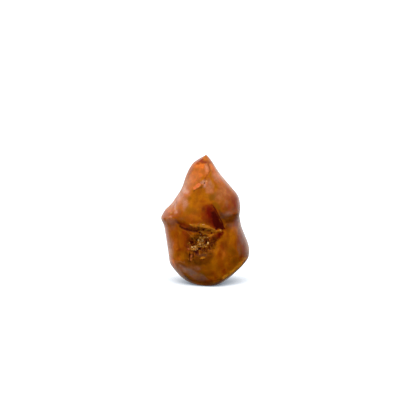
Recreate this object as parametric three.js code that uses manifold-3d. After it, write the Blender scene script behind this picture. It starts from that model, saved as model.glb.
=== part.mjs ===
// A hand-sized flame carving of polished carnelian: one twisted, pointed stone with a small crystal-lined
// hollow in its front. Millimetres, +Z up. The stone rests on a small flat foot and its front faces -Y.
// An azimuth is measured round the stone's own axis, in degrees: 0 faces the front and 90 faces right (+X).

import * as THREE from 'three';
import { mergeVertices } from 'three/addons/utils/BufferGeometryUtils.js';
import Module from 'manifold-3d';

const wasm = await Module();
wasm.setup();

// Driving dimensions

const HEIGHT = 62;

// Reach of the body from its axis on four sides, as [height, reach]. The foot and the tip are cut later.
const LEFT_REACH = [
  [0, 15.8], [6, 16.8], [10, 17.6], [15, 18.2], [20, 18.9], [25, 19.6], [29, 20.3], [32, 20.4],
  [35, 19.4], [38, 17.5], [42, 14.7], [46, 12.4], [50, 10.7], [54, 8.7], [57.5, 6.4], [60, 4.8], [62, 0],
];
const FRONT_REACH = [
  [0, 11.0], [6, 12.4], [12, 13.6], [18, 14.2], [24, 14.4], [30, 14.1], [36, 13.3],
  [42, 11.5], [48, 9.2], [53, 6.9], [57.5, 4.5], [60, 2.7], [62, 0],
];
const RIGHT_REACH = [
  [0, 15.6], [6, 18.2], [11, 19.9], [16, 20.7], [20, 19.9], [24, 18.3], [28, 16.7], [32, 16.4],
  [36, 15.4], [39, 15.1], [42, 14.6], [46, 12.2], [50, 9.1], [54, 6.1], [58, 3.3], [60.5, 1.5], [62, 0],
];
const BACK_REACH = [
  [0, 11.3], [6, 13.2], [12, 14.4], [18, 14.6], [24, 14.2], [30, 13.4], [36, 12.5],
  [42, 11.0], [48, 8.7], [53, 6.2], [57.5, 3.7], [60, 2.0], [62, 0],
];
const SECTION_FULLNESS = 2.02;

// Height of the rim above which the body stands clear of the foot, reach of the flat foot, and how full the
// stone swells out between them (1 is a straight flank), all as [azimuth, size]
const RIM_HEIGHT = [
  [-180, 5.0], [-135, 7.6], [-95, 9.8], [-55, 9.9], [-18, 9.0], [4, 5.2], [22, 2.8], [42, 4.8],
  [66, 9.2], [90, 12.8], [135, 9.8],
];
const FOOT_REACH = [
  [-180, 7.4], [-90, 5.9], [-45, 6.2], [0, 7.1], [30, 7.4], [60, 6.8], [90, 6.5], [135, 6.9],
];
const FOOT_SWELL = [[-180, 0.78], [-135, 0.68], [-90, 0.6], [-45, 0.68], [0, 0.82], [90, 0.82], [135, 0.82]];
const RIM_ROUNDING = 0.45;

// The small facet ground on the left of the tip: the way it faces
const TIP_FACET = new THREE.Vector3(-0.52, -0.16, 0.84).normalize();
const TIP_ROUNDING = 0.3;

// Ridges that twist down from the tip, each as [azimuth, height, rise] along its crest
const RIDGES = [
  {
    crest: [
      [34, 62, 0], [22, 58, 0.6], [15, 56, 0.9], [8, 54, 1.1], [-1, 52, 1.2], [-10, 50.2, 1.2],
      [-19, 48.8, 1.2], [-27, 47.2, 1.1], [-33, 45, 0.9], [-39, 42, 0.7], [-40, 39, 0.6],
      [-42, 36.2, 0.6], [-51, 33.8, 0.9], [-66, 32.6, 1.2], [-84, 31.8, 1.3], [-102, 31.6, 1.2],
      [-120, 32.4, 0.8], [-138, 34, 0.3], [-150, 35, 0],
    ],
    width: 2.6,
  },
  {
    crest: [
      [196, 62, 0], [186, 59, 0.6], [170, 55, 1.0], [148, 50.5, 1.2], [124, 46, 1.3], [104, 41.5, 1.4],
      [90, 38, 1.4], [76, 35.8, 1.4], [60, 34.9, 1.5], [43, 34.9, 1.3], [28, 35.7, 0.7], [16, 37, 0],
    ],
    width: 2.8,
  },
  {
    crest: [
      [-70, 62, 0], [-92, 59, 0.5], [-112, 55, 0.9], [-134, 50, 1.2], [-154, 45, 1.3], [-170, 40, 1.3],
      [-186, 36, 1.4], [-204, 33.6, 1.4], [-222, 32.8, 1.1], [-240, 33.2, 0.5], [-254, 34, 0],
    ],
    width: 2.8,
  },
];

// Hollows swept under and beside the ridges, each as [azimuth, height, depth] along its bed
const FLUTES = [
  {
    bed: [[22, 33, 0.2], [42, 31.6, 1.3], [62, 31, 1.5], [80, 31.6, 1.0], [100, 33, 0.4]],
    width: 2.6,
  },
  {
    bed: [[-96, 27.6, 0.2], [-72, 28.6, 0.5], [-56, 30, 0.7], [-44, 30.4, 0.8]],
    width: 2.0,
  },
  {
    bed: [[-38, 58, 0.2], [-54, 54, 0.6], [-72, 50, 0.8], [-90, 46, 0.7], [-103, 42, 0.5], [-110, 38, 0.2]],
    width: 4.0,
  },
  {
    bed: [[102, 58, 0.2], [86, 54, 0.5], [68, 50, 0.6], [48, 46, 0.7], [34, 42, 0.6], [26, 38, 0.2]],
    width: 4.2,
  },
  {
    bed: [[222, 58, 0.2], [208, 54, 0.6], [187, 50, 0.9], [164, 45, 1.0], [144, 40, 0.9], [128, 36, 0.4]],
    width: 4.2,
  },
  {
    bed: [[-150, 33, 0.2], [-168, 31, 0.8], [-188, 29.6, 1.2], [-208, 28.8, 1.1], [-228, 28.6, 0.4]],
    width: 2.8,
  },
];

// The crease that runs from under the left ridge into the hollow
const CREASE = {
  bed: [[-60, 31.4, 0], [-48, 30.6, 0.4], [-37, 28.6, 0.8], [-25, 27.6, 1.0], [-12, 27.2, 0.8]],
  width: 0.9,
};

// The crystal hollow in the front, as overlapping dents: the middle of each, its half width and half height
// along the stone, its tilt, its depth, and the share of its size that its wall takes up
const DENTS = [
  { azimuth: -3, height: 21.6, wide: 8.4, tall: 7.6, tilt: 12, depth: 0.7, wall: 0.3 },
  { azimuth: -12, height: 21.2, wide: 5.6, tall: 5.4, tilt: 38, depth: 2.9, wall: 0.42 },
  { azimuth: 0, height: 26.8, wide: 4.4, tall: 1.9, tilt: -14, depth: 1.8, wall: 0.5 },
  { azimuth: -23, height: 22.0, wide: 1.9, tall: 1.7, tilt: 0, depth: 1.0, wall: 0.7 },
  { azimuth: 4, height: 20.4, wide: 2.4, tall: 2.2, tilt: 30, depth: 0.8, wall: 0.7 },
  { azimuth: -27, height: 15.2, wide: 0.8, tall: 3.2, tilt: -6, depth: 0.8, wall: 0.8 },
];
const DENT_GIRTH = 14.8;

// Small conchoidal chips along the front ridge
const CHIPS = [
  { azimuth: -6, height: 50.6, wide: 1.7, tall: 1.3, tilt: 20, depth: 0.5, wall: 0.8 },
  { azimuth: -22, height: 48.2, wide: 2.4, tall: 0.8, tilt: 40, depth: 0.4, wall: 0.8 },
  { azimuth: 5, height: 53.4, wide: 0.7, tall: 1.6, tilt: 20, depth: 0.25, wall: 0.8 },
];

// The crust of small crystals on the floor of the hollow
const CRUST = { azimuth: -12, height: 21.3, wide: 4.8, tall: 3.2, tilt: 38, thick: 0.5 };
const CRUST_CLEARANCE = 0.9;
const CRYSTAL_COUNT = 15;
const CRYSTAL_WIDTH = 0.95;
const CRYSTAL_LENGTH = 2.2;
const CRYSTAL_LEAN = 0.25;
const CRYSTAL_SPREAD = 0.74;

const DEGREE = Math.PI / 180;
const GOLDEN_ANGLE = Math.PI * (3 - Math.sqrt(5));

// Columns of points between each ridge and the next, front right, back and left, and the height at which
// the ridges leave the columns and run round the stone as a belt
const COLUMNS_BETWEEN = [34, 15, 20];
const FRONT_CROWDING = 1.3;
const TWIST_STARTS = 38;
const TWIST_FULL = 42;
const BELT_ROW = 35;
const BELT_FADE = 9;

// A smooth curve through [position, value] pairs, read at one position
function through(pairs, at) {
  if (at <= pairs[0][0]) return pairs[0][1];
  const last = pairs.length - 1;
  if (at >= pairs[last][0]) return pairs[last][1];
  let i = 0;
  while (pairs[i + 1][0] < at) i += 1;
  const slope = (a, b) => (pairs[b][1] - pairs[a][1]) / (pairs[b][0] - pairs[a][0]);
  const span = pairs[i + 1][0] - pairs[i][0];
  const before = slope(Math.max(i - 1, 0), i + 1) * span;
  const after = slope(i, Math.min(i + 2, last)) * span;
  const s = (at - pairs[i][0]) / span;
  const rise = pairs[i + 1][1] - pairs[i][1];
  const bend = 3 * rise - 2 * before - after;
  const turn = before + after - 2 * rise;
  return pairs[i][1] + s * before + s * s * bend + s * s * s * turn;
}

// The same for pairs that go round the stone by azimuth
function around(pairs, azimuth) {
  const before = pairs.slice(-2).map(([a, value]) => [a - 360, value]);
  const after = pairs.slice(0, 2).map(([a, value]) => [a + 360, value]);
  return through([...before, ...pairs, ...after], azimuth);
}

// An angle brought to between -180 and 180 degrees
const wrapped = (angle) => angle - 360 * Math.round(angle / 360);

// 0 below one height, 1 above another, and smooth between
function easeBetween(low, high, at) {
  const s = Math.min(Math.max((at - low) / (high - low), 0), 1);
  return s * s * (3 - 2 * s);
}

// The smaller of two sizes, with the corner between them rounded
function roundedMin(a, b, rounding) {
  const overlap = Math.max(rounding - Math.abs(a - b), 0) / rounding;
  return Math.min(a, b) - (overlap * overlap * rounding) / 4;
}

// A crest or bed as closely spaced points
const STEPS_ALONG = 5;

function unroll(points) {
  const corners = points.map(([azimuth, height, size]) => new THREE.Vector3(azimuth, height, size));
  const curve = new THREE.CatmullRomCurve3(corners, false, 'catmullrom', 0.5);
  return curve.getPoints((points.length - 1) * STEPS_ALONG);
}

// How much a crest or bed adds at one place: its own size there, falling off with the distance from it
function reliefAt(line, width, azimuth, height, girth, falloff) {
  const perDegree = DEGREE * girth;
  let best = Infinity;
  let size = 0;
  for (let i = 0; i + 1 < line.length; i += 1) {
    const [start, end] = [line[i], line[i + 1]];
    const run = (end.x - start.x) * perDegree;
    const climb = end.y - start.y;
    const across = wrapped(azimuth - start.x) * perDegree;
    const up = height - start.y;
    const share = Math.min(Math.max((across * run + up * climb) / (run * run + climb * climb), 0), 1);
    const distance = Math.hypot(across - share * run, up - share * climb);
    if (distance < best) {
      best = distance;
      size = start.z + share * (end.z - start.z);
    }
  }
  return size * falloff(best / width);
}

const ridgeLines = RIDGES.map(({ crest, width }) => ({ line: unroll(crest), width }));
const fluteLines = [...FLUTES, CREASE].map(({ bed, width }) => ({ line: unroll(bed), width }));
const sharp = (d) => Math.exp(-Math.sqrt(d * d + 0.02));
const soft = (d) => Math.exp(-d * d);

// Depth of one dent: full on its floor, none past its uneven edge
function dentDepth({ azimuth, height, wide, tall, tilt, depth, wall }, atAzimuth, atHeight) {
  const across = wrapped(atAzimuth - azimuth) * DEGREE * DENT_GIRTH;
  const up = atHeight - height;
  const along = (across * Math.cos(tilt * DEGREE) + up * Math.sin(tilt * DEGREE)) / wide;
  const beside = (up * Math.cos(tilt * DEGREE) - across * Math.sin(tilt * DEGREE)) / tall;
  const bearing = Math.atan2(beside, along);
  const unevenness = 1 + 0.1 * Math.sin(3 * bearing + azimuth) + 0.06 * Math.sin(5 * bearing + height);
  return depth * (1 - easeBetween(1 - wall, 1, Math.hypot(along, beside) / unevenness));
}

// Reach of the four-sided section at an azimuth
function sectionReach(azimuth, height) {
  const side = Math.sin(azimuth * DEGREE);
  const facing = Math.cos(azimuth * DEGREE);
  const across = through(side < 0 ? LEFT_REACH : RIGHT_REACH, height);
  const along = through(facing > 0 ? FRONT_REACH : BACK_REACH, height);
  if (across < 1e-6 || along < 1e-6) return 0;
  const n = SECTION_FULLNESS;
  return ((Math.abs(side) / across) ** n + (Math.abs(facing) / along) ** n) ** (-1 / n);
}

function bodyReach(azimuth, height) {
  const reach = sectionReach(azimuth, height);
  const girth = Math.max(reach, 1);
  let relief = 0;
  for (const { line, width } of ridgeLines) relief += reliefAt(line, width, azimuth, height, girth, sharp);
  for (const { line, width } of fluteLines) relief -= reliefAt(line, width, azimuth, height, girth, soft);
  return reach + relief * Math.min(1, reach / 6);
}

// Reach of the polished stone, with its foot and its tip facet cut
function stoneReach(azimuth, height) {
  const rim = around(RIM_HEIGHT, azimuth);
  const foot = around(FOOT_REACH, azimuth);
  const swell = around(FOOT_SWELL, azimuth);
  const under = foot + (bodyReach(azimuth, rim) - foot) * (height / rim) ** swell;
  let reach = roundedMin(bodyReach(azimuth, height), under, RIM_ROUNDING);
  const slant = TIP_FACET.x * Math.sin(azimuth * DEGREE) - TIP_FACET.y * Math.cos(azimuth * DEGREE);
  if (slant > 0.05) reach = roundedMin(reach, (TIP_FACET.z * (HEIGHT - height)) / slant, TIP_ROUNDING);
  for (const dent of [...DENTS, ...CHIPS]) reach -= dentDepth(dent, azimuth, height);
  return Math.max(reach, 0);
}

// Heights of the rows of points, closest together where the hollow and the ridges are
function rowHeights() {
  const bands = [
    [0, 12, 9], [12, 29, 19], [29, BELT_ROW, 6], [BELT_ROW, 41, 6], [41, 57, 13], [57, HEIGHT, 6],
  ];
  const heights = [];
  for (const [low, high, rows] of bands) {
    for (let row = 0; row < rows; row += 1) heights.push(low + ((high - low) * row) / rows);
  }
  return heights;
}

// Azimuth of a ridge at a height of the twisted part
function ridgeAzimuth(ridge, height) {
  const twisting = ridge.crest.filter(([, h]) => h > TWIST_STARTS);
  return through(twisting.map(([a, h]) => [h, a]).reverse(), height);
}

// Azimuth of each column at a height: the columns follow the ridges up the twist
function columnAzimuths(height) {
  const reached = Math.max(height, TWIST_FULL);
  const ridges = RIDGES.map((ridge) => ridgeAzimuth(ridge, reached));
  ridges.push(ridges[0] + 360);
  ridges[2] += 360;
  const azimuths = [];
  COLUMNS_BETWEEN.forEach((count, side) => {
    for (let step = 0; step < count; step += 1) {
      const share = (step / count) ** (side === 0 ? FRONT_CROWDING : 1);
      azimuths.push(ridges[side] + (ridges[side + 1] - ridges[side]) * share);
    }
  });
  return azimuths.map(wrapped);
}

// Height of the belt, which the ridges follow once they have left the twist
const beltPoints = RIDGES.flatMap(({ crest }) => crest.filter(([, h]) => h < TWIST_STARTS))
  .map(([a, h]) => [wrapped(a), h])
  .sort((one, other) => one[0] - other[0]);

function liftToBelt(height, azimuth) {
  const pull = 1 - easeBetween(0, BELT_FADE, Math.abs(height - BELT_ROW));
  return height + pull * (around(beltPoints, azimuth) - BELT_ROW);
}

// A closed surface with its shared points merged and its empty triangles taken out
function closed(geometry) {
  geometry.deleteAttribute('normal');
  geometry.deleteAttribute('uv');
  const merged = mergeVertices(geometry, 1e-4);
  const kept = [];
  const index = merged.index.array;
  for (let i = 0; i < index.length; i += 3) {
    const [a, b, c] = index.slice(i, i + 3);
    if (a !== b && b !== c && c !== a) kept.push(a, b, c);
  }
  merged.setIndex(kept);
  merged.computeVertexNormals();
  return merged;
}

function flameStone() {
  const profile = [new THREE.Vector2(0, 0), new THREE.Vector2(0.5, 0)];
  for (const height of rowHeights()) profile.push(new THREE.Vector2(1, height));
  profile.push(new THREE.Vector2(0, HEIGHT));
  const columns = COLUMNS_BETWEEN.reduce((sum, count) => sum + count);
  const geometry = new THREE.LatheGeometry(profile, columns);
  geometry.rotateX(Math.PI / 2);
  const place = geometry.attributes.position;
  const azimuthsOfRows = profile.map(({ y: height }) => columnAzimuths(height));
  for (let i = 0; i < place.count; i += 1) {
    const row = i % profile.length;
    const column = Math.floor(i / profile.length) % columns;
    const azimuth = azimuthsOfRows[row][column];
    const height = liftToBelt(profile[row].y, azimuth);
    const reach = profile[row].x * stoneReach(azimuth, height);
    place.setXYZ(i, reach * Math.sin(azimuth * DEGREE), -reach * Math.cos(azimuth * DEGREE), height);
  }
  return closed(geometry);
}

// A solid for joining, from a closed geometry, and back again
function toSolid(geometry) {
  return new wasm.Manifold(new wasm.Mesh({
    numProp: 3,
    vertProperties: new Float32Array(geometry.attributes.position.array),
    triVerts: new Uint32Array(geometry.index.array),
  }));
}

function fromSolid(solid) {
  const { vertProperties, triVerts } = solid.getMesh();
  const geometry = new THREE.BufferGeometry();
  geometry.setAttribute('position', new THREE.BufferAttribute(vertProperties, 3));
  geometry.setIndex(new THREE.BufferAttribute(triVerts, 1));
  geometry.computeVertexNormals();
  return geometry;
}

// A point over the crust's patch of the hollow's floor: its place in the patch from -1 to 1 each way,
// and how far it stands off the floor
function overFloor(along, beside, clearance) {
  const { azimuth, height, wide, tall, tilt } = CRUST;
  const across = along * wide * Math.cos(tilt * DEGREE) - beside * tall * Math.sin(tilt * DEGREE);
  const up = along * wide * Math.sin(tilt * DEGREE) + beside * tall * Math.cos(tilt * DEGREE);
  const turn = azimuth + across / DENT_GIRTH / DEGREE;
  const reach = stoneReach(turn, height + up) + clearance;
  return new THREE.Vector3(reach * Math.sin(turn * DEGREE), -reach * Math.cos(turn * DEGREE), height + up);
}

// The way the floor faces, level enough over a crystal's width
function floorNormal(along, beside) {
  const step = 0.15;
  const ahead = overFloor(along + step, beside, 0).sub(overFloor(along - step, beside, 0));
  const aside = overFloor(along, beside + step, 0).sub(overFloor(along, beside - step, 0));
  return ahead.cross(aside).normalize();
}

// The floor of the crust: a ball pressed flat on the hollow
function crustFloor() {
  const geometry = new THREE.SphereGeometry(1, 16, 8);
  const place = geometry.attributes.position;
  for (let i = 0; i < place.count; i += 1) {
    const lift = (place.getY(i) + 1) / 2;
    const point = overFloor(place.getX(i), -place.getZ(i), CRUST_CLEARANCE + CRUST.thick * lift);
    place.setXYZ(i, point.x, point.y, point.z);
  }
  return toSolid(closed(geometry));
}

// One six-sided pointed crystal, standing on the crust and leaning a little its own way
function crystal(number) {
  const spread = Math.sqrt((number + 0.5) / CRYSTAL_COUNT) * CRYSTAL_SPREAD;
  const bearing = number * GOLDEN_ANGLE;
  const size = 0.75 + 0.3 * Math.sin(number * 2.7) + 0.15 * Math.sin(number * 5.1);
  const width = CRYSTAL_WIDTH * size;
  const length = CRYSTAL_LENGTH * size;
  const outline = [[0, 0], [width, 0], [width, length * 0.5], [0, length]];
  const geometry = new THREE.LatheGeometry(outline.map(([x, y]) => new THREE.Vector2(x, y)), 6);
  geometry.rotateY(number * 1.3);
  const [along, beside] = [spread * Math.cos(bearing), spread * Math.sin(bearing)];
  const foot = overFloor(along, beside, CRUST_CLEARANCE + CRUST.thick * 0.7);
  const lean = new THREE.Vector3(Math.sin(number * 1.9), 0, Math.cos(number * 3.1));
  const standing = floorNormal(along, beside).addScaledVector(lean, CRYSTAL_LEAN).normalize();
  const upright = new THREE.Vector3(0, 1, 0);
  geometry.applyQuaternion(new THREE.Quaternion().setFromUnitVectors(upright, standing));
  geometry.translate(foot.x, foot.y, foot.z);
  return toSolid(closed(geometry));
}

function druzyCrust() {
  let crust = crustFloor();
  for (let number = 0; number < CRYSTAL_COUNT; number += 1) crust = crust.add(crystal(number));
  return fromSolid(crust);
}

const carnelian = new THREE.MeshStandardMaterial({ color: 0xb4601c, roughness: 0.22, metalness: 0 });
const druzy = new THREE.MeshStandardMaterial({ color: 0xd9b98a, roughness: 0.35, metalness: 0 });

// The origin is under the middle of the whole stone
const stoneGeometry = flameStone();
stoneGeometry.computeBoundingBox();
const middle = stoneGeometry.boundingBox.getCenter(new THREE.Vector3());

const group = new THREE.Group();
group.position.set(-middle.x, -middle.y, 0);

const stone = new THREE.Mesh(stoneGeometry, carnelian);
stone.name = 'flame_stone';
group.add(stone);

const crust = new THREE.Mesh(druzyCrust(), druzy);
crust.name = 'druzy_crust';
group.add(crust);

export default group;
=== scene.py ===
"""Looks of the carnelian flame carving: the polished stone, the crystals in its hollow, and the studio."""

import math

import bpy
import numpy as np
from bpy.props import FloatProperty, FloatVectorProperty, IntProperty, PointerProperty
from mathutils import Matrix, Vector


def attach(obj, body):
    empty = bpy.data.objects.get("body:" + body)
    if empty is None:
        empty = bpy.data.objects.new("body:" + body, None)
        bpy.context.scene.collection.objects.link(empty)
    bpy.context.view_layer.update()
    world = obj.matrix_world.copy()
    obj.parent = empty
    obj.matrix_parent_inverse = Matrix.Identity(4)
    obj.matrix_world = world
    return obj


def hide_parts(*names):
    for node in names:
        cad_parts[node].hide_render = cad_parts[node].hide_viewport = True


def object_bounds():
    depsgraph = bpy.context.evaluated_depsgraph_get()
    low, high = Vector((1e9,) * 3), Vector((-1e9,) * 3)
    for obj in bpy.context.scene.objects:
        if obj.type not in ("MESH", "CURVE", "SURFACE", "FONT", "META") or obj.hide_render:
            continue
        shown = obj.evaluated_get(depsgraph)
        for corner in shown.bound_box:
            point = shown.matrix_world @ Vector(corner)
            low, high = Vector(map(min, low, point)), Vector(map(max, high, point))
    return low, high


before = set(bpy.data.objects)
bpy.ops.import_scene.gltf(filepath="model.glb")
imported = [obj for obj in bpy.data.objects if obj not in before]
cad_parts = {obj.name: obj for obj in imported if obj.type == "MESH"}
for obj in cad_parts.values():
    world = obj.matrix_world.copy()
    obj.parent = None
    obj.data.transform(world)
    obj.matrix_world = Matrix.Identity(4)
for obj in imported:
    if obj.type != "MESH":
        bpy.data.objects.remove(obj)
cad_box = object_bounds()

bl_info = {
    "name": "Carnelian flame carving",
    "version": (1, 0, 0),
    "blender": (4, 5, 0),
    "location": "3D View > Sidebar > Flame",
    "description": "Dresses the flame carving's solids as polished carnelian with a crystal-lined hollow",
    "category": "Object",
}

MM = 0.001
DEGREE = math.pi / 180
UPRIGHT = Vector((0, 0, 1))
QUARTZ_IOR = 1.54

STONE_NODE = "flame_stone"
CRUST_NODE = "druzy_crust"
TIP = max((v.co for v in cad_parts[STONE_NODE].data.vertices), key=lambda place: place.z).copy()

# Everything placed on the front of the stone is given in millimetres as seen from the front: x to the right
# of the middle and z above the foot.

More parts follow.
